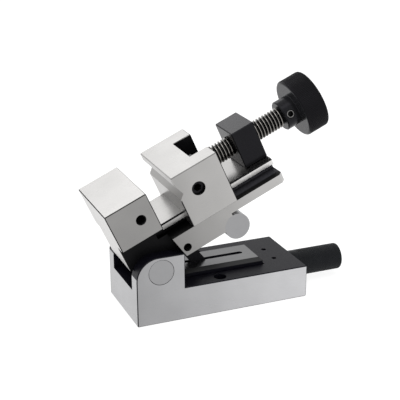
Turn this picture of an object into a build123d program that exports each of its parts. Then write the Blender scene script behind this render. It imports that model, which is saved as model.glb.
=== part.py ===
import os
from math import asin, cos, degrees, radians, sin, sqrt

from build123d import *

os.makedirs("parts", exist_ok=True)

# Driving sizes, in millimetres. World: X along the base, -Y to the front, +Z up.
# The origin is the centre of the base's footprint on its ground under face.
jaw_width = 50.0
roll_centres = 50.0
roll_radius = 7.5
edge_break = 0.5
pin_break = 0.3
press_play = 0.01
sliding_play = 0.03
turning_play = 0.05

# Base block
base_length = 105.0
land_height = 19.5
ear_height = 40.0
ear_reach = 28.5
ear_thick = 8.5
ear_round = 13.0
hinge_in = 14.5
hinge_height = 31.0

# Gauge block pad on the base
pad_start = 30.5
pad_from_end = 22.5
pad_half = 10.0
pad_bevel = 2.0
pad_relief = 0.9
rest_gap = 0.02

# Tilting body, measured from the hinge axis: u runs along the bed, w stands on it
rest_tilt = 24.0
core_play = 0.05
tongue_radius = 11.2
tongue_bottom = 6.1
jaw_left = -13.8
jaw_face = 11.9
jaw_foot = 22.6
jaw_top = 46.35
bed_end = 86.2
bed_top = 21.1
guide_height = 3.5
undercut_depth = 3.4
undercut_start = 7.9
flange_top = 14.25
flange_toe_top = 13.8
flange_toe_foot = 16.9
thick_under = 0.6
thin_under = 9.0
end_corner = 2.0
bed_bevel = 0.8
corner_relief = 1.6

# Movable jaw
opening = 15.45
moving_length = 29.0
under_gap = 0.06
vee_depth = 3.0
vee_start = 4.5
vee_apex = 11.3
vee_lip = 14.3
pocket_in = 17.35
pocket_half = 12.95
pocket_floor = 24.5

# Clamp spindle and the block that carries its thread
screw_height = 33.0
screw_radius = 6.0
nose_radius = 5.0
nose_length = 9.7
nose_clearance = 0.4
nose_groove_in = 5.5
nose_groove_width = 3.4
nose_groove_radius = 3.5
collar_radius = 8.0
collar_length = 2.8
washer_thick = 1.5
block_length = 14.5
block_half = 11.5
block_top = 44.4

# Knob on the spindle
hub_start = 105.9
hub_length = 8.7
hub_radius = 9.0
knob_radius = 17.5
knob_length = 13.6
knob_bevel = 1.0
knob_bore_depth = 17.3

# Strut and draw bar
link_u = 19.4
link_w = 5.1
link_length = 42.0
link_half = 3.75
link_thick = 2.9
link_slot = 3.2
link_room = 0.65
link_clearance = 0.4
slot_behind = 6.2
slot_ahead = 13.1
link_pin_radius = 2.4
link_pin_recess = 5.0
lower_pin_radius = 2.0
lower_pin_half = 5.5
bar_height = 10.5
bar_radius = 7.0
bar_nose = 8.0
bar_head = 14.0
bar_reach = 62.0
bar_rod_radius = 4.0
bar_play_along = 2.15
bar_play_up = 0.25
tunnel_start = 33.0
base_slot_start = 30.0
base_slot_end = 74.5

# Turning handle
handle_radius = 8.0
handle_length = 33.5
handle_gap = 0.3
handle_bevel = 0.8
journal_length = 17.0
journal_groove_radius = 5.4
cap_radius = 6.0
cap_thick = 3.0
dowel_from_end = 12.8
dowel_side = 7.1
dowel_radius = 1.5
dowel_bottom = 2.5
dowel_sunk = 1.2

# Holes for the user's screws
hold_down_x = 52.1
hold_down_in = 5.9
hold_down_radius = 2.25
hold_down_head_radius = 3.7
hold_down_head_depth = 4.6
stop_hole_u = 3.25
stop_hole_w = 34.3
stop_hole_radius = 2.5
stop_hole_depth = 12.0
stop_hole_sink = 0.5

# The vise's own screws
lock_screw_radius = 2.0
lock_screw_length = 6.0
lock_screw_socket = 2.0
roll_screw_side = 15.0
roll_screw_sunk = 0.6
roll_screw_radius = 2.0
roll_screw_length = 18.0
roll_screw_head_radius = 3.5
roll_screw_head = 4.0
roll_screw_socket = 3.0
block_screw_in = 7.3
block_screw_side = 8.0
block_screw_radius = 2.5
block_screw_depth = 8.6
block_screw_head_radius = 4.2
block_screw_head = 5.0
block_screw_socket = 4.0
guide_screw_radius = 4.0
guide_screw_sunk = 1.8
guide_screw_seat = 7.0
guide_screw_tip_radius = 1.5
guide_screw_socket = 4.0
knob_screw_in = 3.6
knob_screw_angle = 14.0
knob_screw_radius = 2.5
knob_screw_sunk = 0.45
knob_screw_socket = 2.5

# Sizes that follow from the ones above
over = 1.0
half = jaw_width / 2
base_left = -base_length / 2
base_right = base_length / 2
hinge_x = base_left + hinge_in
core_half = half - ear_thick - core_play
moving_left = jaw_face + opening
moving_right = moving_left + moving_length
pocket_wall = moving_left + pocket_in
groove_u = pocket_wall - nose_groove_in
block_left = bed_end - block_length
pad_top = hinge_height - roll_radius - rest_gap
pad_length = base_length - pad_start - pad_from_end
dowel_x = base_right - dowel_from_end
tilt = radians(rest_tilt)
link_top_x = hinge_x + link_u * cos(tilt) - link_w * sin(tilt)
link_top_z = hinge_height + link_u * sin(tilt) + link_w * cos(tilt)
link_drop = link_top_z - bar_height
link_foot_x = link_top_x + sqrt(link_length ** 2 - link_drop ** 2)

# The tilting group is drawn with its bed level and then laid at the rest angle
tilted = Location((hinge_x, 0, hinge_height), (0, -rest_tilt, 0))


def block(x0, x1, y0, y1, z0, z1):
    """A plain block between six planes."""
    size = Box(x1 - x0, y1 - y0, z1 - z0)
    return Pos((x0 + x1) / 2, (y0 + y1) / 2, (z0 + z1) / 2) * size


def plate(points, half_width):
    """A side profile in X and Z, spread evenly to both sides of the middle."""
    face = Plane.XZ * make_face(Polyline(*points, close=True))
    return extrude(face, half_width, both=True)


def rod_x(x0, x1, radius, y=0.0, z=0.0):
    return Pos((x0 + x1) / 2, y, z) * Rot(0, 90, 0) * Cylinder(radius, x1 - x0)


def rod_y(y0, y1, radius, x=0.0, z=0.0):
    return Pos(x, (y0 + y1) / 2, z) * Rot(90, 0, 0) * Cylinder(radius, y1 - y0)


def rod_z(z0, z1, radius, x=0.0, y=0.0):
    return Pos(x, y, (z0 + z1) / 2) * Cylinder(radius, z1 - z0)


def socket(depth, across):
    """The cutter of a hexagon socket that is open at zero and runs down Z."""
    face = RegularPolygon(across / sqrt(3), 6)
    return Pos(0, 0, -depth) * extrude(face, depth + over)


def cap_screw(radius, length, head_radius, head_length, across):
    """A cap screw along Z: the head's top face at zero, the shank below it."""
    head = rod_z(-head_length, 0, head_radius)
    shank = rod_z(-head_length - length, -head_length, radius)
    return head + shank - socket(head_length * 0.6, across)


def set_screw(radius, length, across):
    """A headless screw along Z with its socket at zero."""
    return rod_z(-length, 0, radius) - socket(length * 0.4, across)


def both_sides(make):
    """One of a piece at the front and one at the back."""
    return Compound(children=[make(side) for side in (-1, 1)])


def save(shape, name):
    shape.label = name
    export_step(shape, f"parts/{name}.step")


# Base block: one milled and ground block with two ears, a raised pad and a tunnel
def make_base():
    ear_right = base_left + ear_reach
    outline = [
        (base_left, 0),
        (base_right, 0),
        (base_right, land_height),
        (ear_right, land_height),
        (ear_right, ear_height),
        (base_left, ear_height),
    ]
    body = plate(outline, half)
    corner = body.edges().filter_by(Axis.Y).group_by(Axis.Z)[-1].sort_by(Axis.X)[0]
    body = fillet(corner, ear_round)
    across = body.edges().filter_by(Axis.Y)
    inner = across.sort_by(lambda e: abs(e.center().X - ear_right) + abs(e.center().Z - land_height))[0]
    body = chamfer([e for e in body.edges() if e != inner], edge_break)
    gap = half - ear_thick
    body -= block(base_left - over, ear_right + over, -gap, gap, land_height, ear_height + over)
    body = body - make_pad_relief() + make_pad()
    # the strut's slot opens into the draw bar's tunnel
    body -= rod_x(base_left + tunnel_start, base_right + over, bar_radius + turning_play, z=bar_height)
    slot_half = link_slot / 2
    slot_end = base_left + base_slot_end - slot_half
    body -= block(base_left + base_slot_start, slot_end, -slot_half, slot_half, bar_height, pad_top + over)
    body -= rod_z(bar_height, pad_top + over, slot_half, x=slot_end)
    # hinge pin, the screws that lock it, hold-down screws and the handle's dowels
    body -= rod_y(-half - over, half + over, roll_radius, hinge_x, hinge_height)
    for side in (-1, 1):
        body -= rod_z(-over, hinge_height, lock_screw_radius, hinge_x, side * (half - ear_thick / 2))
        x = base_left + hold_down_x
        y = side * (half - hold_down_in)
        body -= rod_z(-over, land_height + over, hold_down_radius, x, y)
        body -= rod_z(land_height - hold_down_head_depth, land_height + over, hold_down_head_radius, x, y)
        body -= rod_z(dowel_bottom, land_height + over, dowel_radius, dowel_x, side * dowel_side)
    return body


def make_pad():
    left = base_left + pad_start
    pad = block(left, left + pad_length, -pad_half - pad_bevel, pad_half + pad_bevel,
                land_height - pad_relief, pad_top)
    top = pad.faces().sort_by(Axis.Z)[-1]
    long_edges = top.edges().filter_by(Axis.X)
    right_edge = top.edges().filter_by(Axis.Y).sort_by(Axis.X)[-1]
    return chamfer([*long_edges, right_edge], pad_bevel)


def make_pad_relief():
    left = base_left + pad_start
    reach = pad_half + pad_bevel + pad_relief
    return block(left, left + pad_length + pad_relief, -reach, reach,
                 land_height - pad_relief, land_height + over)


# Hinge pin, the same diameter as the sine roll, pressed into both ears
def make_hinge_pin():
    pin = rod_y(-half, half, roll_radius, hinge_x, hinge_height)
    return chamfer(pin.edges().filter_by(GeomType.CIRCLE), pin_break)


def make_lock_screw(side):
    screw = Rot(180, 0, 0) * set_screw(lock_screw_radius - press_play, lock_screw_length, lock_screw_socket)
    foot = hinge_height - roll_radius - rest_gap - lock_screw_length
    return Pos(hinge_x, side * (half - ear_thick / 2), foot) * screw


# Tilting body: hinge tongue, guided bed, side flanges, roll seat and fixed jaw in one
def make_vise_body():
    body = make_core() + make_flange() + make_fixed_jaw()
    # undercuts below the guide strips, and the grinding relief in the jaw's corner
    for side in (-1, 1):
        inner = side * (core_half - undercut_depth)
        outer = side * (core_half + over)
        body -= block(undercut_start, bed_end + over, min(inner, outer), max(inner, outer),
                      flange_top, bed_top - guide_height)
    relief = Pos(jaw_face, 0, bed_top) * Rot(0, 45, 0)
    body -= relief * Box(corner_relief, jaw_width, corner_relief)
    # roll seat, hinge bore and the strut's pin and slot
    body -= rod_y(-half - over, half + over, roll_radius, roll_centres, 0)
    body -= rod_y(-half - over, half + over, roll_radius + sliding_play)
    body -= rod_y(-half - over, half + over, link_pin_radius, link_u, link_w)
    body -= block(link_u - slot_behind, link_u + slot_ahead, -link_slot / 2, link_slot / 2,
                  -tongue_radius, link_w + link_half + link_room)
    for side in (-1, 1):
        body -= make_roll_screw_hole(side) + make_stop_hole(side)
        x = block_left + block_screw_in
        y = side * block_screw_side
        body -= rod_z(0, bed_top + over, block_screw_radius + turning_play, x, y)
        head_end = thin_under + rest_gap + block_screw_head
        body -= rod_z(0, head_end, block_screw_head_radius + turning_play, x, y)
    return body


def make_core():
    core = plate([
        (jaw_left, jaw_foot + over),
        (jaw_face, jaw_foot + over),
        (jaw_face, bed_top),
        (bed_end, bed_top),
        (bed_end, thin_under),
        (roll_centres, thin_under),
        (roll_centres, thick_under),
        (0, thick_under),
        (0, tongue_bottom),
        (jaw_left, tongue_bottom),
    ], core_half)
    top = core.faces().filter_by(Axis.Z).sort_by(lambda f: abs(f.center().Z - bed_top))[0]
    core = chamfer(top.edges().filter_by(Axis.X), bed_bevel)
    return core + rod_y(-core_half, core_half, tongue_radius)


def make_flange():
    flange = plate([
        (flange_toe_top, flange_top),
        (bed_end, flange_top),
        (bed_end, thin_under),
        (roll_centres, thin_under),
        (roll_centres, thick_under),
        (flange_toe_foot, thick_under),
    ], half)
    return chamfer(flange.edges().filter_by(Axis.Z).group_by(Axis.X)[-1], end_corner)


def make_fixed_jaw():
    jaw = block(jaw_left, jaw_face, -half, half, jaw_foot, jaw_top)
    return chamfer(jaw.edges(), edge_break)


def make_stop_hole(side):
    """Tapped hole along Y from a side face, with its mouth countersunk."""
    mouth_radius = stop_hole_radius + stop_hole_sink
    mouth = Pos(0, 0, -stop_hole_sink / 2) * Cone(stop_hole_radius, mouth_radius, stop_hole_sink)
    hole = rod_z(-stop_hole_depth, over, stop_hole_radius) + mouth
    return Location((stop_hole_u, side * half, stop_hole_w), (-side * 90, 0, 0)) * hole


def make_roll_screw_hole(side):
    depth = roll_screw_head + roll_screw_length + over
    return roll_screw_place(side) * rod_z(-depth, 0, roll_screw_radius)


def roll_screw_place(side):
    """Frame of a roll screw: Z points out of the roll, away from its seat."""
    reach = (roll_radius - roll_screw_sunk) * sin(radians(45))
    return Location((roll_centres + reach, side * roll_screw_side, -reach), (0, 135, 0))


# Sine roll, drawn into its seat by two screws through the roll
def make_roll():
    roll = rod_y(-half, half, roll_radius, roll_centres, 0)
    for side in (-1, 1):
        place = roll_screw_place(side)
        roll -= place * rod_z(-3 * roll_radius, over, roll_screw_radius + turning_play)
        roll -= place * rod_z(-roll_screw_head, 2 * over, roll_screw_head_radius + turning_play)
    return roll


def make_roll_screw(side):
    screw = cap_screw(roll_screw_radius - press_play, roll_screw_length, roll_screw_head_radius,
                      roll_screw_head, roll_screw_socket)
    return tilted * roll_screw_place(side) * screw


# Movable jaw: straddles the bed, its inner lips hook below the guide strips
def make_movable_jaw():
    bottom = flange_top + under_gap
    jaw = block(moving_left, moving_right, -half, half, bottom, jaw_top)
    sharp = jaw.edges().filter_by(Axis.Z, reverse=True).group_by(Axis.Z)[0]
    jaw = chamfer([e for e in jaw.edges() if e not in sharp], edge_break)
    guide = core_half + sliding_play
    lip = core_half - undercut_depth + sliding_play
    lip_top = bed_top - guide_height - sliding_play
    jaw -= block(moving_left - over, moving_right + over, -guide, guide, lip_top, bed_top + sliding_play)
    jaw -= block(moving_left - over, moving_right + over, -lip, lip, bottom - over, bed_top)
    jaw -= plate([
        (moving_left - over, jaw_top - vee_start + over),
        (moving_left, jaw_top - vee_start),
        (moving_left + vee_depth, jaw_top - vee_apex),
        (moving_left, jaw_top - vee_lip),
        (moving_left - over, jaw_top - vee_lip - over),
    ], half + over)
    # pocket for the spindle's collar, the nose bore and the two guide screws
    jaw -= block(pocket_wall, moving_right + over, -pocket_half, pocket_half, pocket_floor, jaw_top + over)
    jaw -= rod_x(pocket_wall - nose_length - nose_clearance, pocket_wall + over,
                 nose_radius + turning_play, z=screw_height)
    jaw -= rod_y(-half, half, guide_screw_tip_radius + turning_play, groove_u, screw_height)
    for side in (-1, 1):
        y0, y1 = sorted((side * guide_screw_seat, side * (half + over)))
        jaw -= rod_y(y0, y1, guide_screw_radius, groove_u, screw_height)
    return jaw


def make_guide_screw(side):
    """Set screw along Z whose thin tip runs in the groove of the spindle's nose."""
    length = half - guide_screw_sunk - guide_screw_seat - rest_gap
    tip = guide_screw_seat - nose_groove_radius - nose_clearance
    screw = set_screw(guide_screw_radius - press_play, length, guide_screw_socket)
    screw += rod_z(-length - tip, -length, guide_screw_tip_radius)
    place = Location((groove_u, side * (half - guide_screw_sunk), screw_height), (-side * 90, 0, 0))
    return tilted * place * screw


# Clamp spindle: nose with its groove, thrust collar, threaded length, turned end
def make_spindle():
    collar_start = pocket_wall + washer_thick + turning_play
    collar_end = collar_start + collar_length
    spindle = rod_x(pocket_wall - nose_length, collar_end, nose_radius, z=screw_height)
    spindle += rod_x(collar_start, collar_end, collar_radius, z=screw_height)
    spindle += rod_x(collar_end, hub_start, screw_radius, z=screw_height)
    spindle += rod_x(hub_start, hub_start + knob_bore_depth, nose_radius, z=screw_height)
    reach = nose_groove_width / 2
    groove = rod_x(groove_u - reach, groove_u + reach, collar_radius, z=screw_height)
    return spindle - (groove - rod_x(groove_u - reach, groove_u + reach, nose_groove_radius, z=screw_height))


def make_thrust_washer():
    start = pocket_wall + rest_gap
    washer = rod_x(start, pocket_wall + washer_thick, collar_radius, z=screw_height)
    return washer - rod_x(start - over, pocket_wall + washer_thick + over,
                          nose_radius + turning_play, z=screw_height)


# Block that carries the spindle's thread, screwed to the bed from below
def make_nut_block():
    nut = block(block_left, bed_end, -block_half, block_half, bed_top, block_top)
    nut = chamfer(nut.edges(), edge_break)
    nut -= rod_x(block_left - over, bed_end + over, screw_radius + turning_play, z=screw_height)
    for side in (-1, 1):
        nut -= rod_z(bed_top - over, bed_top + block_screw_depth, block_screw_radius,
                     block_left + block_screw_in, side * block_screw_side)
    return nut


def make_block_screw(side):
    foot = thin_under + rest_gap
    length = bed_top + block_screw_depth - rest_gap - foot - block_screw_head
    screw = cap_screw(block_screw_radius - press_play, length, block_screw_head_radius,
                      block_screw_head, block_screw_socket)
    place = Pos(block_left + block_screw_in, side * block_screw_side, foot)
    return tilted * place * Rot(180, 0, 0) * screw


# Knob with its hub, held on the spindle by one radial screw
def make_knob():
    rim_start = hub_start + hub_length
    rim = rod_x(rim_start, rim_start + knob_length, knob_radius, z=screw_height)
    rim = chamfer(rim.edges().filter_by(GeomType.CIRCLE), knob_bevel)
    hub = rod_x(hub_start, rim_start + over, hub_radius, z=screw_height)
    hub = chamfer(hub.edges().filter_by(GeomType.CIRCLE).group_by(Axis.X)[0], edge_break)
    bore = rod_x(hub_start - over, hub_start + knob_bore_depth + rest_gap, nose_radius + press_play,
                 z=screw_height)
    return rim + hub - bore - knob_screw_place() * rod_z(-hub_radius, over, knob_screw_radius)


def knob_screw_place():
    a = radians(knob_screw_angle)
    y = -hub_radius * cos(a)
    z = screw_height + hub_radius * sin(a)
    return Location((hub_start + knob_screw_in, y, z), (90 - knob_screw_angle, 0, 0))


def make_knob_screw():
    length = hub_radius - nose_radius - 2 * turning_play - knob_screw_sunk
    screw = set_screw(knob_screw_radius - press_play, length, knob_screw_socket)
    return tilted * knob_screw_place() * Pos(0, 0, -knob_screw_sunk) * screw


# Strut between the body and the draw bar, with its two pins
def make_link():
    profile = SlotCenterToCenter(link_length, link_half * 2)
    link = extrude(Plane.XZ * profile, link_thick / 2, both=True)
    link -= rod_y(-link_thick, link_thick, link_pin_radius + turning_play, -link_length / 2)
    link -= rod_y(-link_thick, link_thick, lower_pin_radius, link_length / 2)
    middle_x = (link_top_x + link_foot_x) / 2
    middle_z = (link_top_z + bar_height) / 2
    slope = degrees(asin(link_drop / link_length))
    return Location((middle_x, 0, middle_z), (0, slope, 0)) * link


def make_link_pin():
    reach = half - link_pin_recess
    return tilted * rod_y(-reach, reach, link_pin_radius, link_u, link_w)


def make_draw_pin():
    return rod_y(-lower_pin_half, lower_pin_half, lower_pin_radius, link_foot_x, bar_height)


# Draw bar: a round head slotted for the strut, and a threaded rod into the handle
def make_draw_bar():
    x = link_foot_x
    bar = rod_x(x - bar_nose, x + bar_head, bar_radius, z=bar_height)
    bar += rod_x(x + bar_head, x + bar_reach, bar_rod_radius, z=bar_height)
    slot_half = link_slot / 2
    room = link_half + bar_play_along + link_clearance
    bar -= block(x - bar_nose - over, x + room, -slot_half, slot_half,
                 bar_height - link_half - link_clearance, bar_height + bar_radius + over)
    reach = lower_pin_radius + bar_play_along
    up = lower_pin_radius + bar_play_up
    return bar - block(x - reach, x + reach, -bar_radius, bar_radius, bar_height - up, bar_height + up)


# Turning handle: journal held by two dowels, knurled grip, thread for the draw bar
def make_handle():
    face = base_right + handle_gap
    end = face + handle_length
    journal_start = base_right - journal_length
    grip = rod_x(face, end, handle_radius, z=bar_height)
    grip = chamfer(grip.edges().filter_by(GeomType.CIRCLE), handle_bevel)
    handle = grip + rod_x(journal_start, face + over, bar_radius, z=bar_height)
    width = dowel_radius + 3 * turning_play
    ring = rod_x(dowel_x - width, dowel_x + width, handle_radius, z=bar_height)
    ring -= rod_x(dowel_x - width, dowel_x + width, journal_groove_radius, z=bar_height)
    handle -= ring
    handle -= rod_x(journal_start - over, end, bar_rod_radius + turning_play, z=bar_height)
    return handle - rod_x(end - cap_thick, end + over, cap_radius, z=bar_height)


def make_handle_cap():
    end = base_right + handle_gap + handle_length
    return rod_x(end - cap_thick, end - pin_break, cap_radius, z=bar_height)


def make_handle_dowel(side):
    return rod_z(dowel_bottom, land_height - dowel_sunk, dowel_radius, dowel_x, side * dowel_side)


save(make_base(), "base_block")
save(make_hinge_pin(), "hinge_pin")
save(both_sides(make_lock_screw), "hinge_pin_set_screws")
save(tilted * make_vise_body(), "vise_body")
save(tilted * make_roll(), "sine_roll")
save(both_sides(make_roll_screw), "sine_roll_screws")
save(tilted * make_movable_jaw(), "movable_jaw")
save(both_sides(make_guide_screw), "spindle_retaining_screws")
save(tilted * make_spindle(), "clamp_spindle")
save(tilted * make_thrust_washer(), "thrust_washer")
save(tilted * make_nut_block(), "nut_block")
save(both_sides(make_block_screw), "nut_block_screws")
save(tilted * make_knob(), "knob")
save(make_knob_screw(), "knob_set_screw")
save(make_link(), "strut")
save(make_link_pin(), "strut_pin")
save(make_draw_pin(), "draw_bar_pin")
save(make_draw_bar(), "draw_bar")
save(make_handle(), "handle")
save(make_handle_cap(), "handle_cap")
save(both_sides(make_handle_dowel), "handle_dowels")
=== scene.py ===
import math

import bmesh
import bpy
from mathutils import Matrix, Vector


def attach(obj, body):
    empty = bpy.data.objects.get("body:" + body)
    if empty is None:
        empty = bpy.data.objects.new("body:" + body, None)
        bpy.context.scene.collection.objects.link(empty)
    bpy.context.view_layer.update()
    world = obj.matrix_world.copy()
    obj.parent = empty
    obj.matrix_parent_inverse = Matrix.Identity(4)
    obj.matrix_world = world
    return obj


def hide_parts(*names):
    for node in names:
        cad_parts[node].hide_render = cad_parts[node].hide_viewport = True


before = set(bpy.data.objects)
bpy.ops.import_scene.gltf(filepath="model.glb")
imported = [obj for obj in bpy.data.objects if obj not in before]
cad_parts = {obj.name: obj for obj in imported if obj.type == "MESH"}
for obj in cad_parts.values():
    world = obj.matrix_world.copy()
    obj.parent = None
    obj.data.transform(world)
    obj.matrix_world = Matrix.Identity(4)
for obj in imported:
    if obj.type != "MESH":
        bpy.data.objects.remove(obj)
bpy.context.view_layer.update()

# Sizes of the CAD model, in millimetres. The base is measured from the middle of its under face. The tilting vise
# is measured from the hinge axis as it lies with its bed level: u along the bed, y across it and w up from it.
MM = 0.001
HALF_WIDTH = 25.0
BASE_HALF_LENGTH = 52.5
PAD_TOP = 23.48
PAD_BEVEL = 2.0
HANDLE_HEIGHT = 10.5
HINGE = Vector((-38.0, 0.0, 31.0)) * MM
REST_TILT = math.radians(24.0)
TILT = Matrix.Translation(HINGE) @ Matrix.Rotation(-REST_TILT, 4, "Y")
HINGE_PIN = (0.0, 0.0)
SINE_ROLL = (50.0, 0.0)
PIN_SHADE_RING = 7.3
CORE_HALF = 16.5
UNDERCUT_HALF = 13.05
FLANGE_TOP = 14.25
TOE_START = 13.0
TOE_END = 17.5
STRIP_FOOT = 17.6
NECK_END = 12.95
BED_TOP = 21.1
CORNER_START = 84.0
ROLL_SEAT_START = 49.0
ROLL_SEAT_END = 58.0
# Where painted light lies on the flanges' tops and on the undercut's wall
PAINTED_LIGHT_START = 30.0
PAINTED_LIGHT_FULL = 56.0
PAINTED_LIGHT_INNER = 19.8
PAINTED_LIGHT_OUTER = 21.0
JAW_LEFT = -13.8
JAW_FLARE = 22.0
JAW_FOOT = 22.6
JAW_UPPER_PART = 40.0
JAW_TOP_EDGE = 45.0
JAW_TOP = 46.35
STOP_HOLE = (3.25, 34.3)
STOP_HOLE_RADIUS = 3.1
MOVING_LEFT = 27.35
MOVING_RIGHT = 56.35
VEE_END = 31.0
VEE_LOW = 31.5
VEE_HIGH = 42.3
POCKET_WALL = 44.7
POCKET_HALF = 12.95
POCKET_FLOOR = 24.5
SIDE_HOLE = 39.1
SIDE_HOLE_REACH = 4.2
SCREW_HEIGHT = 33.0
RIM_START = 114.6
RIM_END = 128.2
KNOB_RADIUS = 17.5
TURNED_RADIUS = 16.9
HUB_END_FACE = 107.0
SET_SCREW_PLACE = 109.5
SET_SCREW_ANGLE = math.radians(14.0)
BRIGHT_RING = (1.7, 2.1)

# A mask reaches this far past a face that it takes, and keeps this far off a corner, a hole's mouth and a bevel
NEAR = 0.1
SKIN = 0.05
MOUTH = 0.02
EDGE = 0.55

# How much of a normal lies along an axis: on a face square to it, on one nearest to it, on a bevel beside it
SQUARE = 0.95
NEAREST = 0.7
BESIDE = 0.5

# Colours, and the lean of a grey in red, green and blue
BLACK_LEVEL = 0.006
COOL = (1.0, 1.0, 1.02)
WARM = (1.0, 0.985, 0.968)
OXIDE = (1.0, 1.02, 1.12)
BLUING = (0.9, 0.88, 1.0, 1.0)
HANDLE_SHEEN = (0.84, 0.91, 1.0, 1.0)
THREAD_CREST = (0.32, 0.305, 0.285, 1.0)
# The thread's roots are painted dark as shade
THREAD_ROOT_SHADE = 0.012


# Shader helpers
class Tree:
    """Short calls for adding and joining shader nodes. A mask is one where it holds and nought elsewhere."""

    def __init__(self, owner):
        owner.use_nodes = True
        self.owner = owner
        self.tree = owner.node_tree
        self.tree.nodes.clear()

    def node(self, kind, **values):
        node = self.tree.nodes.new(kind)
        for key, value in values.items():
            setattr(node, key, value)
        return node

    def put(self, socket, value):
        if isinstance(value, bpy.types.NodeSocket):
            self.tree.links.new(value, socket)
        else:
            socket.default_value = value

    def math(self, operation, a, b=0.0, clamp=False):
        node = self.node("ShaderNodeMath", operation=operation, use_clamp=clamp)
        for socket, value in zip(node.inputs, (a, b)):
            self.put(socket, value)
        return node.outputs[0]

    def join(self, operation, values):
        result = values[0]
        for value in values[1:]:
            result = self.math(operation, result, value)
        return result

    def times(self, *values):
        return self.join("MULTIPLY", values)

    def both(self, *masks):
        return self.join("MULTIPLY", masks)

    def either(self, *masks):
        return self.join("MAXIMUM", masks)

    def no(self, mask):
        return self.math("SUBTRACT", 1.0, mask, clamp=True)

    def over(self, value, limit):
        return self.math("GREATER_THAN", value, limit)

    def under(self, value, limit):
        return self.math("LESS_THAN", value, limit)

    def beyond(self, value, limit):
        """One where the value is over the limit on either side of nought."""
        return self.over(self.math("ABSOLUTE", value), limit)

    def between(self, value, low, high):
        return self.both(self.over(value, low), self.under(value, high))

    def near(self, value, middle, reach=NEAR):
        return self.between(value, middle - reach, middle + reach)

    def span(self, value, low, high, start=0.0, end=1.0, smooth=False):
        """Start up to the low value, end from the high value on, and a ramp between them."""
        node = self.node("ShaderNodeMapRange")
        node.interpolation_type = "SMOOTHSTEP" if smooth else "LINEAR"
        for socket, item in zip(node.inputs, (value, low, high, start, end)):
            self.put(socket, item)
        return node.outputs[0]

    def vary(self, noise, start, end, reach=0.2):
        """A noise, which stays mostly within this reach of a half, as values from start to end."""
        return self.span(noise, 0.5 - reach, 0.5 + reach, start, end)

    def mix(self, factor, a, b):
        """Colour a where the factor is nought, b where it is one."""
        node = self.node("ShaderNodeMix", data_type="RGBA")
        for index, value in ((0, factor), (6, a), (7, b)):
            self.put(node.inputs[index], value)
        return node.outputs[2]

    def blend(self, factor, a, b):
        """Value a where the factor is nought, b where it is one."""
        node = self.node("ShaderNodeMix", data_type="FLOAT")
        for index, value in ((0, factor), (2, a), (3, b)):
            self.put(node.inputs[index], value)
        return node.outputs[0]

    def place(self, tilted):
        """Position in millimetres and normal, square to the piece as it is machined."""
        coords = self.node("ShaderNodeTexCoord")
        place = self.node("ShaderNodeMapping", vector_type="TEXTURE")
        turn = self.node("ShaderNodeMapping", vector_type="TEXTURE")
        if tilted:
            place.inputs["Location"].default_value = HINGE
            place.inputs["Rotation"].default_value = (0, -REST_TILT, 0)
            turn.inputs["Rotation"].default_value = (0, -REST_TILT, 0)
        place.inputs["Scale"].default_value = (MM, MM, MM)
        self.put(place.inputs["Vector"], coords.outputs["Object"])
        self.put(turn.inputs["Vector"], coords.outputs["Normal"])
        spot = self.node("ShaderNodeSeparateXYZ")
        way = self.node("ShaderNodeSeparateXYZ")
        self.put(spot.inputs[0], place.outputs[0])
        self.put(way.inputs[0], turn.outputs[0])
        return place.outputs[0], spot.outputs, way.outputs

    def noise(self, vector, scale, detail=3.0, stretch=(1, 1, 1), rough=0.5):
        shape = self.node("ShaderNodeMapping")
        shape.inputs["Scale"].default_value = stretch
        self.put(shape.inputs["Vector"], vector)
        node = self.node("ShaderNodeTexNoise")
        node.inputs["Scale"].default_value = scale
        node.inputs["Detail"].default_value = detail
        node.inputs["Roughness"].default_value = rough
        self.put(node.inputs["Vector"], shape.outputs[0])
        return node.outputs["Fac"]

    def bump(self, height, depth, strength):
        """A normal from the height, where one is this depth in micrometres."""
        node = self.node("ShaderNodeBump")
        node.inputs["Strength"].default_value = strength
        node.inputs["Distance"].default_value = depth * 0.001 * MM
        self.put(node.inputs["Height"], height)
        return node.outputs[0]

    def seen(self):
        """One for camera, mirror and glass rays, nought for those that only light."""
        path = self.node("ShaderNodeLightPath")
        kinds = ("Camera", "Glossy", "Transmission")
        return self.either(*(path.outputs[f"Is {kind} Ray"] for kind in kinds))

    def output(self, kind, shader):
        self.put(self.node(kind).inputs["Surface"], shader.outputs[0])
        return self.owner

    def surface(self, color, metallic, roughness, normal, **fixed):
        shader = self.node("ShaderNodeBsdfPrincipled")
        self.put(shader.inputs["Base Color"], color)
        self.put(shader.inputs["Metallic"], metallic)
        self.put(shader.inputs["Roughness"], roughness)
        self.put(shader.inputs["Normal"], normal)
        for name, value in fixed.items():
            shader.inputs[name.replace("_", " ")].default_value = value
        return self.output("ShaderNodeOutputMaterial", shader)


def material_tree(name):
    return Tree(bpy.data.materials.new(name))


def grey(level):
    return (level, level, level, 1.0)


def tinted(t, level, tint):
    """A grey of this level, leaning to the tint."""
    color = t.node("ShaderNodeCombineColor")
    for socket, part in zip(color.inputs[:3], tint):
        t.put(socket, t.times(level, part))
    return color.outputs[0]


def distance(t, a, b):
    return t.math("SQRT", t.math("ADD", t.times(a, a), t.times(b, b)))


def from_point(t, u, w, centre):
    return distance(t, t.math("SUBTRACT", u, centre[0]), t.math("SUBTRACT", w, centre[1]))


def from_screw(t, y, w):
    return distance(t, y, t.math("SUBTRACT", w, SCREW_HEIGHT))


def streaks(t, vector, way):
    """Grinding marks: long along the bed, short across it, turned on the end faces."""
    along = t.noise(vector, 1.0, 3.0, (0.035, 4.0, 4.0), 0.6)
    across = t.noise(vector, 1.0, 3.0, (4.0, 0.035, 4.0), 0.6)
    return t.blend(t.beyond(way[0], NEAREST), along, across)


def turning_marks(t, vector):
    """Fine rings about the lengthwise axis."""
    return t.noise(vector, 1.0, 3.0, (9.0, 0.15, 0.15), 0.6)


def squareness(t, way):
    """One on faces square to the piece, nought on bevels and round walls."""
    return t.span(t.either(*(t.math("ABSOLUTE", part) for part in way)), 0.93, 0.975)


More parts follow.
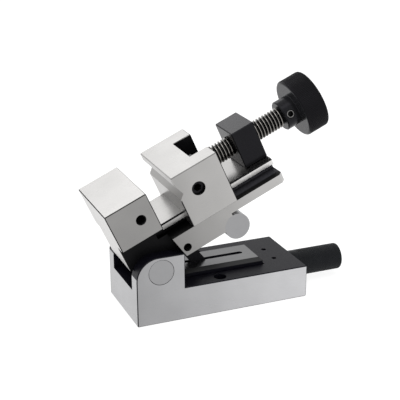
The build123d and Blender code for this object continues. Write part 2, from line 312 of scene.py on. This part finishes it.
def top_bevels(t, way):
    """One on the bevels between a top face and the front or back."""
    return t.both(t.over(way[2], BESIDE), t.beyond(way[1], BESIDE))


def painted_face_light(t, way, side, end, top):
    """Painted light: each direction of face gets its own brightness, as the light falls on it."""
    level = t.blend(t.beyond(way[0], NEAREST), side, end)
    return t.blend(t.beyond(way[2], NEAREST), level, top)


# Finishes
def two_finish(t, ground, vector, way, tone, tint, ior, black=BLACK_LEVEL, lean=(1.0, 1.0, 1.14)):
    """Ground steel of this tone where the mask is one, black oxide where it is nought."""
    marks = streaks(t, vector, way)
    cloud = t.noise(vector, 0.045, 2.0)
    speck = t.noise(vector, 1.6, 4.0)
    level = t.times(t.vary(marks, 0.985, 1.015, 0.25), t.vary(cloud, 0.95, 1.05))
    bright = tinted(t, t.times(level, tone), tint)
    dark = tinted(t, t.times(black, t.vary(speck, 0.75, 1.25)), lean)
    rough = t.blend(ground, t.vary(speck, 0.34, 0.5), t.vary(marks, 0.26, 0.32, 0.3))
    height = t.blend(ground, t.times(speck, 0.6), marks)
    return t.surface(t.mix(ground, dark, bright), ground, rough, t.bump(height, 8.0, 0.2), IOR=ior)


def base_finish():
    """Black all over, then ground on the outer faces and the gauge block pad."""
    t = material_tree("base_steel")
    vector, (x, y, z), way = t.place(False)
    side = t.both(t.beyond(y, HALF_WIDTH - NEAR), t.beyond(way[1], SQUARE))
    end = t.both(t.beyond(x, BASE_HALF_LENGTH - NEAR), t.beyond(way[0], SQUARE))
    under = t.both(t.under(z, NEAR), t.under(way[2], -SQUARE))
    pad = t.both(t.near(z, PAD_TOP), t.over(way[2], SQUARE))
    slope = t.both(t.between(z, PAD_TOP - PAD_BEVEL - NEAR, PAD_TOP + NEAR), t.between(way[2], BESIDE, SQUARE))
    # Painted light: each facing gets its own brightness, the sides a brightening gradient along the base, and the
    # pad's bevel is painted dark as shade.
    tone = painted_face_light(t, way, side=t.span(x, -52.0, 52.0, 0.32, 0.54), end=0.385, top=0.4)
    tone = t.blend(slope, t.blend(pad, tone, 0.175), 0.045)
    ground = t.either(side, end, under, pad, slope)
    return two_finish(t, ground, vector, way, tone, COOL, ior=1.24, black=0.007, lean=(1.0, 0.96, 1.7))


def body_finish():
    """Ground outside, black in the undercuts, between the ears, on the flanges' tops and under the bed."""
    t = material_tree("body_steel")
    vector, (u, y, w), way = t.place(True)
    wide = t.math("ABSOLUTE", y)
    core = t.under(wide, CORE_HALF + NEAR)

    # black parts
    neck = t.both(t.under(u, NECK_END), t.under(w, JAW_FOOT - SKIN))
    left_end = t.both(t.under(u, JAW_LEFT + NEAR), t.under(way[0], -SQUARE))
    inside = t.both(core, t.either(t.under(w, STRIP_FOOT + SKIN), neck), t.no(left_end))
    roll_seat = t.between(u, ROLL_SEAT_START, ROLL_SEAT_END)
    below = t.both(t.under(way[2], -BESIDE), t.under(w, JAW_FOOT + NEAR), t.no(roll_seat))
    toe = t.both(t.between(u, TOE_START, TOE_END), t.under(way[0], -SQUARE), t.under(w, FLANGE_TOP + NEAR))
    ledge = t.both(t.near(w, FLANGE_TOP), t.over(way[2], SQUARE))
    hole = t.both(t.under(from_point(t, u, w, STOP_HOLE), STOP_HOLE_RADIUS), t.under(wide, HALF_WIDTH - MOUTH))
    black = t.either(inside, below, toe, ledge, hole)

    # ground bevels
    corner = t.both(t.over(u, CORNER_START), t.under(w, FLANGE_TOP + NEAR))
    on_jaw = t.over(w, JAW_UPPER_PART)
    bevel = t.both(top_bevels(t, way), on_jaw)
    mouth_edge = t.both(t.over(way[0], BESIDE), t.over(way[2], BESIDE), on_jaw)
    ground = t.both(t.either(squareness(t, way), corner, bevel, mouth_edge), t.no(black))

    # brightness of the ground faces, painted light: each facing has its own brightness with gradients along the
    # bed, the guide strip's side is painted brighter, and the top bevels are painted dark as shade
    fixed_jaw = t.over(w, JAW_FLARE)
    top = t.blend(fixed_jaw, t.span(u, 20.0, 65.0, 0.33, 0.262), 0.395)
    side = t.blend(fixed_jaw, t.span(u, 15.0, 86.0, 0.22, 0.49), 0.265)
    tone = painted_face_light(t, way, side, end=0.5, top=top)
    strip = t.both(t.between(w, STRIP_FOOT + SKIN, BED_TOP - NEAR), core, t.beyond(way[1], SQUARE))
    tone = t.blend(bevel, t.blend(strip, tone, t.span(u, 20.0, 70.0, 0.43, 0.76)), 0.03)

    # depth of the black, painted light and shade: the flanges' tops are painted darker than the black, with a
    # painted lighter band beside the guide strips along the bed, and the undercut's wall is painted lighter
    painted_light_wall = t.both(t.near(wide, UNDERCUT_HALF), t.over(u, PAINTED_LIGHT_START))
    painted_ledge_light = t.both(t.span(wide, PAINTED_LIGHT_INNER, PAINTED_LIGHT_OUTER, 1.0, 0.0), t.span(u, PAINTED_LIGHT_START, PAINTED_LIGHT_FULL))
    oxide = t.blend(painted_light_wall, t.blend(ledge, BLACK_LEVEL, t.blend(painted_ledge_light, 0.001, 0.05)), 0.09)
    return two_finish(t, ground, vector, way, tone, WARM, ior=1.19, black=oxide)


def jaw_finish():
    """Ground outside and in the V groove, black in the pocket, the channel over the bed and the side holes."""
    t = material_tree("jaw_steel")
    vector, (u, y, w), way = t.place(True)
    wide = t.math("ABSOLUTE", y)
    pocket = t.both(t.under(wide, POCKET_HALF + SKIN), t.over(u, POCKET_WALL - SKIN),
                    t.between(w, POCKET_FLOOR - NEAR, JAW_TOP - EDGE))
    channel = t.both(t.under(wide, CORE_HALF + NEAR), t.under(w, BED_TOP + NEAR),
                     t.between(u, MOVING_LEFT + EDGE, MOVING_RIGHT - EDGE))
    hole = t.both(t.between(wide, NEAR, HALF_WIDTH - MOUTH), t.near(u, SIDE_HOLE, SIDE_HOLE_REACH),
                  t.near(w, SCREW_HEIGHT, SIDE_HOLE_REACH))
    vee = t.both(t.under(wide, HALF_WIDTH - SKIN), t.between(u, MOVING_LEFT + MOUTH, VEE_END),
                 t.between(w, VEE_LOW, VEE_HIGH))
    bevel = top_bevels(t, way)
    mouth_edge = t.both(t.under(way[0], -BESIDE), t.over(w, VEE_HIGH),
                        t.either(t.over(way[2], BESIDE), t.under(way[1], -BESIDE)))
    bare = t.either(squareness(t, way), vee, bevel, mouth_edge)
    ground = t.both(bare, t.no(t.either(pocket, channel, hole)))
    # Painted light: each facing gets its own brightness with a gradient along the jaw, and the top bevels are
    # painted dark as shade.
    tone = painted_face_light(t, way, side=t.span(u, 27.0, 57.0, 0.35, 0.43), end=0.42, top=0.35)
    tone = t.blend(t.both(bevel, t.over(w, JAW_TOP_EDGE)), tone, 0.15)
    return two_finish(t, ground, vector, way, tone, WARM, ior=1.19)


def round_finish(name, centre, rim=None):
    """Ground pin: its end faces carry turned rings, and its rim, where one is given, is painted as a thin dark
    line of shade.
    """
    t = material_tree(name)
    vector, (u, y, w), way = t.place(True)
    radius = from_point(t, u, w, centre)
    wobble = t.noise(vector, 0.25, 2.0)
    rings = t.math("SINE", t.math("ADD", t.times(radius, 19.0), t.times(wobble, 6.0)))
    level = t.span(t.times(rings, t.beyond(way[1], SQUARE)), -1.0, 1.0, 0.97, 1.03)
    color, metallic = tinted(t, t.times(level, 0.31), COOL), 1.0
    if rim is not None:
        # Painted shade: a thin dark ring round the pin's end face
        edge = t.both(t.over(radius, rim), t.beyond(way[1], 0.3))
        color, metallic = t.mix(edge, color, grey(BLACK_LEVEL)), t.no(edge)
    return t.surface(color, metallic, t.vary(wobble, 0.26, 0.38, 0.3), t.bump(rings, 4.0, 0.4))


def mottled_black(t, vector, level):
    """The colour of black oxide of this level, and the fine specks in it."""
    speck = t.noise(vector, 1.4, 4.0)
    cloud = t.noise(vector, 0.12, 2.0)
    tone = t.times(t.vary(speck, 0.7, 1.3), t.vary(cloud, 0.85, 1.15))
    return tinted(t, t.times(tone, level), OXIDE), speck


def black_finish(name, level, ior, rough=(0.32, 0.5), tilted=True, sheen=BLUING):
    t = material_tree(name)
    dark, speck = mottled_black(t, t.place(tilted)[0], level)
    return t.surface(dark, 0.0, t.vary(speck, *rough), t.bump(speck, 10.0, 0.4), IOR=ior, Specular_Tint=sheen)


def knob_finish():
    """Black knob: dull knurled rim, glossier turned hub and faces, the end faces painted lighter as reflection.
    """
    t = material_tree("knob_black")
    vector, (u, y, w), way = t.place(True)
    turned = t.under(from_screw(t, y, w), TURNED_RADIUS)
    face = t.both(t.beyond(way[0], 0.8), t.over(u, HUB_END_FACE))
    # Painted reflection: the flat end faces get a lighter base colour than the rest.
    level = t.blend(turned, 0.001, t.blend(face, 0.016, 0.03))
    dark, speck = mottled_black(t, vector, level)
    rough = t.blend(turned, t.vary(speck, 0.3, 0.45), t.vary(turning_marks(t, vector), 0.14, 0.26))
    return t.surface(dark, 0.0, rough, t.bump(speck, 10.0, 0.3), IOR=1.24, Specular_Tint=BLUING)


def set_screw_finish():
    """Blackened screw with its end turned bright round the socket."""
    t = material_tree("set_screw_steel")
    vector, (u, y, w), way = t.place(True)
    above = t.math("SUBTRACT", w, SCREW_HEIGHT)
    across = t.math("ADD", t.times(y, math.sin(SET_SCREW_ANGLE)), t.times(above, math.cos(SET_SCREW_ANGLE)))
    radius = distance(t, t.math("SUBTRACT", u, SET_SCREW_PLACE), across)
    ring = t.both(t.between(radius, BRIGHT_RING[0], BRIGHT_RING[1]), t.under(way[1], -SQUARE))
    speck = t.noise(vector, 2.0, 4.0)
    color = t.mix(ring, grey(0.003), tinted(t, t.vary(speck, 0.1, 0.35), WARM))
    return t.surface(color, ring, t.vary(speck, 0.2, 0.34), t.bump(speck, 10.0, 0.4), IOR=1.15)


def turned_finish(name, tone):
    """Turned steel: fine rings along the axis."""
    t = material_tree(name)
    vector = t.place(True)[0]
    rings = turning_marks(t, vector)
    level = t.times(t.vary(rings, 0.85, 1.15), t.vary(t.noise(vector, 0.2, 2.0), 0.9, 1.1))
    bright = tinted(t, t.times(level, tone), COOL)
    return t.surface(bright, 1.0, t.vary(rings, 0.18, 0.34, 0.3), t.bump(rings, 8.0, 0.5))


def thread_finish():
    """Cut thread: bright crests, roots painted dark as shade."""
    t = material_tree("thread_steel")
    vector, (_, y, w), _ = t.place(True)
    crest = t.math("POWER", t.span(from_screw(t, y, w), 4.9, 5.85, smooth=True), 3.0)
    speck = t.noise(vector, 0.9, 3.0)
    color = t.mix(crest, grey(THREAD_ROOT_SHADE), THREAD_CREST)
    return t.surface(color, 1.0, t.vary(speck, 0.2, 0.36), t.bump(speck, 10.0, 0.4))


# Mesh helpers
def add_object(name, data):
    obj = bpy.data.objects.new(name, data)
    bpy.context.scene.collection.objects.link(obj)
    return obj


def to_mesh(name, bm):
    mesh = bpy.data.meshes.new(name)
    bm.to_mesh(mesh)
    bm.free()
    return mesh


def mesh_object(name, bm, material, body, angle=35.0):
    """A shaded piece that rides on a body. Edges sharper than the angle, in degrees, stay sharp."""
    bmesh.ops.recalc_face_normals(bm, faces=bm.faces)
    mesh = to_mesh(name, bm)
    mesh.materials.append(material)
    mesh.shade_smooth()
    mesh.set_sharp_from_angle(angle=math.radians(angle))
    obj = add_object(name, mesh)
    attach(obj, body)
    return obj


def round_point(x, radius, angle, height):
    """A point about a lengthwise axis at this height. Angle nought is to the front."""
    return Vector((x, -radius * math.cos(angle), height + radius * math.sin(angle))) * MM


def lathe(profile, segments, height, shape=None, matrix=Matrix()):
    """Turns a closed outline of (x, radius) about an axis at this height. Shape may lower a radius by angle."""
    bm = bmesh.new()
    made = []
    for x, radius in profile:
        ring = []
        for k in range(segments):
            angle = 2 * math.pi * k / segments
            r = shape(radius, angle, x) if shape else radius
            ring.append(bm.verts.new(matrix @ round_point(x, r, angle, height)))
        made.append(ring)
    for a, b in zip(made, made[1:] + made[:1]):
        for k in range(segments):
            n = (k + 1) % segments
            bm.faces.new((a[k], a[n], b[n], b[k]))
    return bm


def saw(value):
    """Triangle wave: nought at whole numbers, one halfway between them."""
    part = value - math.floor(value)
    return 1 - abs(2 * part - 1)


# The radius that closes an outline on its axis
AXIS = 0.01

# Clamp spindle with its helical thread
PITCH = 2.0
MAJOR = 5.97
MINOR = 4.75
THREAD_START = 49.1
THREAD_END = 105.85
THREAD_STEPS = 56
THREAD_SHAPE = ((0.0, 0.0), (0.36, 0.0), (0.84, 1.0), (1.16, 1.0), (1.64, 0.0))
START_RUNOUT = 1.2
END_RUNOUT = 0.8
NOSE_START, NOSE_RADIUS = 35.0, 5.0
GROOVE_START, GROOVE_END, GROOVE_RADIUS = 37.5, 40.9, 3.5
COLLAR_START, COLLAR_END, COLLAR_RADIUS = 46.25, 49.05, 8.0
SHAFT_RADIUS = 4.6
SHAFT_END = 123.2


def make_thread():
    """Rows of points along the helix, each joined to the next and to the one that is a turn further on."""
    bm = bmesh.new()
    turns = (THREAD_END - THREAD_START) / PITCH + 2
    rows = []
    for i in range(int(turns * THREAD_STEPS) + 1):
        angle = 2 * math.pi * i / THREAD_STEPS
        start = THREAD_START - PITCH + PITCH * i / THREAD_STEPS
        row = []
        for dx, rise in THREAD_SHAPE:
            x = min(max(start + dx, THREAD_START), THREAD_END)
            runout = min((x - THREAD_START) / START_RUNOUT, (THREAD_END - x) / END_RUNOUT, 1.0)
            radius = MINOR + (MAJOR - MINOR) * rise * max(runout, 0.0)
            row.append(bm.verts.new(TILT @ round_point(x, radius, angle, SCREW_HEIGHT)))
        rows.append(row)
    last = len(THREAD_SHAPE) - 1
    for a, b in zip(rows, rows[1:]):
        for k in range(last):
            bm.faces.new((a[k], b[k], b[k + 1], a[k + 1]))
    for a, b, c, d in zip(rows, rows[1:], rows[THREAD_STEPS:], rows[THREAD_STEPS + 1:]):
        bm.faces.new((a[last], b[last], d[0], c[0]))
    bmesh.ops.remove_doubles(bm, verts=bm.verts, dist=0.001 * MM)
    bmesh.ops.holes_fill(bm, edges=[edge for edge in bm.edges if edge.is_boundary])
    return bm


def make_spindle():
    mesh_object("spindle_thread", make_thread(), thread_finish(), "clamp_screw", angle=25)
    outline = [
        (NOSE_START, AXIS), (NOSE_START, NOSE_RADIUS - 0.5), (NOSE_START + 0.5, NOSE_RADIUS),
        (GROOVE_START, NOSE_RADIUS), (GROOVE_START, GROOVE_RADIUS),
        (GROOVE_END, GROOVE_RADIUS), (GROOVE_END, NOSE_RADIUS),
        (COLLAR_START, NOSE_RADIUS), (COLLAR_START, COLLAR_RADIUS - 0.3), (COLLAR_START + 0.3, COLLAR_RADIUS),
        (COLLAR_END - 0.3, COLLAR_RADIUS), (COLLAR_END, COLLAR_RADIUS - 0.3), (COLLAR_END, 5.6),
        (49.5, SHAFT_RADIUS), (105.8, SHAFT_RADIUS), (106.0, NOSE_RADIUS),
        (SHAFT_END - 0.4, NOSE_RADIUS), (SHAFT_END, SHAFT_RADIUS), (SHAFT_END, AXIS),
    ]
    bm = lathe(outline, 72, SCREW_HEIGHT, matrix=TILT)
    shaft = mesh_object("spindle_shaft", bm, turned_finish("spindle_steel", 0.05), "clamp_screw")
    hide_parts("clamp_spindle")


# Knob with straight knurling and a drilled hub
KNOB_TEETH = 118
TOOTH_DEPTH = 0.25
HUB_START = 105.9
HUB_RADIUS = 9.0
KNOB_BORE_END = 123.4
KNOB_BORE_RADIUS = 5.01
RIM_ROUND = ((0.0, 16.3), (0.25, 16.9), (0.75, 17.35), (1.3, KNOB_RADIUS))
DRILL_RADIUS = 2.52
DRILL_LENGTH = 6.0
DRILL_MIDDLE = 7.8


def knob_shape(radius, angle, x):
    if radius < 16.0:
        return radius
    tooth = saw(angle / (2 * math.pi) * KNOB_TEETH)
    return min(radius, KNOB_RADIUS - TOOTH_DEPTH * (1 - tooth))


def drill_hub(knob):
    """Cuts the set screw's hole, slanting up to the front."""
    drill = bmesh.new()
    bmesh.ops.create_cone(drill, cap_ends=True, segments=40, radius1=DRILL_RADIUS * MM,
                          radius2=DRILL_RADIUS * MM, depth=DRILL_LENGTH * MM)
    cutter = add_object("drill", to_mesh("drill", drill))
    out = Vector((0, -math.cos(SET_SCREW_ANGLE), math.sin(SET_SCREW_ANGLE)))
    spot = Vector((SET_SCREW_PLACE, 0, SCREW_HEIGHT)) * MM + out * (DRILL_MIDDLE * MM)
    cutter.matrix_world = TILT @ Matrix.Translation(spot) @ out.to_track_quat("Z", "Y").to_matrix().to_4x4()
    bpy.context.view_layer.update()
    cut = knob.modifiers.new("set_screw_hole", "BOOLEAN")
    cut.object = cutter
    cut.solver = "EXACT"
    graph = bpy.context.evaluated_depsgraph_get()
    done = bpy.data.meshes.new_from_object(knob.evaluated_get(graph))
    knob.modifiers.clear()
    knob.data = done
    bpy.data.objects.remove(cutter)


def make_knob():
    outline = [
        (HUB_START, HUB_RADIUS - 0.5), (HUB_START + 0.5, HUB_RADIUS),
        (RIM_START - 0.3, HUB_RADIUS), (RIM_START, HUB_RADIUS + 0.3), (RIM_START, HUB_RADIUS + 0.6),
        (RIM_START, 15.9), *((RIM_START + inward, radius) for inward, radius in RIM_ROUND),
        *((RIM_END - inward, radius) for inward, radius in reversed(RIM_ROUND)), (RIM_END, 15.9),
        (RIM_END, 2.3), (RIM_END, 2.0), (RIM_END - 0.6, AXIS),
        (KNOB_BORE_END, AXIS), (KNOB_BORE_END, KNOB_BORE_RADIUS), (HUB_START, KNOB_BORE_RADIUS),
    ]
    bm = lathe(outline, KNOB_TEETH * 4, SCREW_HEIGHT, knob_shape, TILT)
    bmesh.ops.remove_doubles(bm, verts=bm.verts, dist=0.012 * MM)
    knob = mesh_object("knob_knurled", bm, knob_finish(), "clamp_screw", angle=40)
    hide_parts("knob")
    drill_hub(knob)


# Turning handle with diamond knurling on its grip
HANDLE_DIAMONDS = 42
DIAMOND_DEPTH = 0.32
HANDLE_START = 35.5
HANDLE_FACE = 52.8
HANDLE_END = 86.3
HANDLE_RADIUS = 8.0
JOURNAL_RADIUS = 7.0
DOWEL_GROOVE_START, DOWEL_GROOVE_END, DOWEL_GROOVE_RADIUS = 38.05, 41.35, 5.4
HANDLE_BORE_RADIUS = 4.05
CAP_RADIUS = 6.0
CAP_DEPTH = 3.0
GRIP_START = 57.9
GRIP_END = 85.1
GRIP_STEPS = 194


def handle_shape(radius, angle, x):
    if radius < 7.85 or x < GRIP_START or x > GRIP_END:
        return radius
    turn = angle / (2 * math.pi) * HANDLE_DIAMONDS
    run = (x - GRIP_START) / (2 * math.pi * HANDLE_RADIUS) * HANDLE_DIAMONDS
    cut = max(1 - saw(turn + run), 1 - saw(turn - run))
    fade = min((x - GRIP_START) / 0.5, (GRIP_END - x) / 0.5, 1.0)
    return radius - DIAMOND_DEPTH * max(0.0, 1.6 * cut - 0.6) * fade


def make_handle():
    grip_length = GRIP_END - GRIP_START
    grip = [(GRIP_START + grip_length * i / GRIP_STEPS, HANDLE_RADIUS) for i in range(GRIP_STEPS + 1)]
    outline = [
        (HANDLE_START, HANDLE_BORE_RADIUS), (HANDLE_START, JOURNAL_RADIUS - 0.5),
        (HANDLE_START + 0.5, JOURNAL_RADIUS),
        (DOWEL_GROOVE_START, JOURNAL_RADIUS), (DOWEL_GROOVE_START, DOWEL_GROOVE_RADIUS),
        (DOWEL_GROOVE_END, DOWEL_GROOVE_RADIUS), (DOWEL_GROOVE_END, JOURNAL_RADIUS),
        (HANDLE_FACE, JOURNAL_RADIUS), (HANDLE_FACE, 7.2), (HANDLE_FACE + 0.25, 7.75),
        (HANDLE_FACE + 0.8, HANDLE_RADIUS), (57.2, HANDLE_RADIUS), (57.35, 7.8), (57.75, 7.8),
        *grip,
        (85.5, HANDLE_RADIUS), (86.0, 7.75), (HANDLE_END, 7.2), (HANDLE_END, CAP_RADIUS),
        (HANDLE_END - CAP_DEPTH, CAP_RADIUS), (HANDLE_END - CAP_DEPTH, HANDLE_BORE_RADIUS),
    ]
    bm = lathe(outline, HANDLE_DIAMONDS * 6, HANDLE_HEIGHT, handle_shape)
    material = black_finish("handle_black", 0.01, 1.27, (0.26, 0.4), tilted=False, sheen=HANDLE_SHEEN)
    handle = mesh_object("handle_knurled", bm, material, "turning_handle", angle=50)
    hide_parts("handle")


# Finishes on the nodes that keep their shape
def dress(material, *nodes):
    for node in nodes:
        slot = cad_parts[node].material_slots[0]
        slot.link = "OBJECT"
        slot.material = material


dress(base_finish(), "base_block")
dress(body_finish(), "vise_body")
dress(jaw_finish(), "movable_jaw")
dress(round_finish("hinge_pin_steel", HINGE_PIN, PIN_SHADE_RING), "hinge_pin")
dress(round_finish("roll_steel", SINE_ROLL), "sine_roll")
dress(set_screw_finish(), "knob_set_screw")
dress(black_finish("nut_black", 0.007, 1.26, (0.18, 0.3)), "nut_block")
dress(black_finish("strut_black", 0.008, 1.25, tilted=False), "strut")
dress(black_finish("pin_black", 0.002, 1.1), "strut_pin", "handle_dowels", "draw_bar_pin")
dress(black_finish("screw_black", 0.004, 1.25, (0.22, 0.36)), "sine_roll_screws", "nut_block_screws",
      "spindle_retaining_screws", "hinge_pin_set_screws", "handle_cap")
for name in ("draw_bar", "thrust_washer"):
    dress(turned_finish(f"{name}_steel", 0.4), name)

make_spindle()
make_knob()
make_handle()

# Floor, background and light
FLOOR_DROP = 0.05
FLOOR_REACH = 6.0
FLOOR_GREY = 0.45
FLOOR_GLOW = 0.86
WORLD_LIGHT = 0.55
WORLD_SEEN = 1.0


def make_floor():
    """White paper that glows for the eye, so it looks as bright as the background, and still takes shadow."""
    bm = bmesh.new()
    bmesh.ops.create_grid(bm, x_segments=1, y_segments=1, size=FLOOR_REACH)
    floor = add_object("floor", to_mesh("floor", bm))
    floor.location.z = -FLOOR_DROP * MM
    t = material_tree("floor_paper")
    diffuse = t.node("ShaderNodeBsdfDiffuse")
    t.put(diffuse.inputs["Color"], grey(FLOOR_GREY))
    glow = t.node("ShaderNodeEmission")
    t.put(glow.inputs["Strength"], t.times(t.seen(), FLOOR_GLOW))
    add = t.node("ShaderNodeAddShader")
    t.put(add.inputs[0], diffuse.outputs[0])
    t.put(add.inputs[1], glow.outputs[0])
    floor.data.materials.append(t.output("ShaderNodeOutputMaterial", add))


def make_world():
    """White all round, dimmer as a light than it looks."""
    t = Tree(bpy.data.worlds.new("studio"))
    back = t.node("ShaderNodeBackground")
    t.put(back.inputs["Color"], grey(1.0))
    t.put(back.inputs["Strength"], t.span(t.seen(), 0.0, 1.0, WORLD_LIGHT, WORLD_SEEN))
    bpy.context.scene.world = t.output("ShaderNodeOutputWorld", back)


MIDDLE = Vector((0.0, 0.0, 0.05))


def softbox(name, spot, width, height, radiance):
    """A panel light, turned to the middle of the vise. Its place and size are in metres."""
    data = bpy.data.lights.new(name, "AREA")
    data.shape = "RECTANGLE"
    data.size, data.size_y = width, height
    data.energy = radiance * math.pi * width * height
    lamp = add_object(name, data)
    lamp.location = spot
    lamp.rotation_euler = (MIDDLE - lamp.location).to_track_quat("-Z", "Y").to_euler()


# Camera, fitted to the photograph's straight edges
JAW_WIDTH = 2 * HALF_WIDTH * MM
TURN = math.radians(22.21)
LIFT = math.radians(20.19)
ROLL = math.radians(-0.341)
FOCAL_PIXELS = 1021.57
PHOTO_PIXELS = 400.0
SENSOR = 36.0

# From the camera to the base's front left corner at the bottom, in jaw widths
ACROSS = -0.6874
DOWN = -1.4203
AWAY = 11.3389


def make_camera():
    look = Vector((math.sin(TURN) * math.cos(LIFT), math.cos(TURN) * math.cos(LIFT), -math.sin(LIFT)))
    level = Vector((math.cos(TURN), -math.sin(TURN), 0.0))
    upright = level.cross(look)
    right = level * math.cos(ROLL) + upright * math.sin(ROLL)
    up = upright * math.cos(ROLL) - level * math.sin(ROLL)
    corner = Vector((-BASE_HALF_LENGTH, -HALF_WIDTH, 0.0)) * MM
    spot = corner - (right * ACROSS + up * DOWN + look * AWAY) * JAW_WIDTH
    data = bpy.data.cameras.new("camera")
    data.sensor_width = SENSOR
    data.lens = FOCAL_PIXELS / PHOTO_PIXELS * SENSOR
    data.clip_start = 0.01
    camera = add_object("camera", data)
    camera.matrix_world = Matrix.Translation(spot) @ Matrix((right, up, -look)).transposed().to_4x4()
    bpy.context.scene.camera = camera


make_floor()
make_world()
softbox("back_panel", (-0.1, 0.75, 0.58), 0.5, 0.36, 1.4)
softbox("top_panel", (-0.3, -0.2, 0.9), 0.6, 0.6, 1.2)
make_camera()
bpy.context.scene.view_settings.view_transform = "Standard"
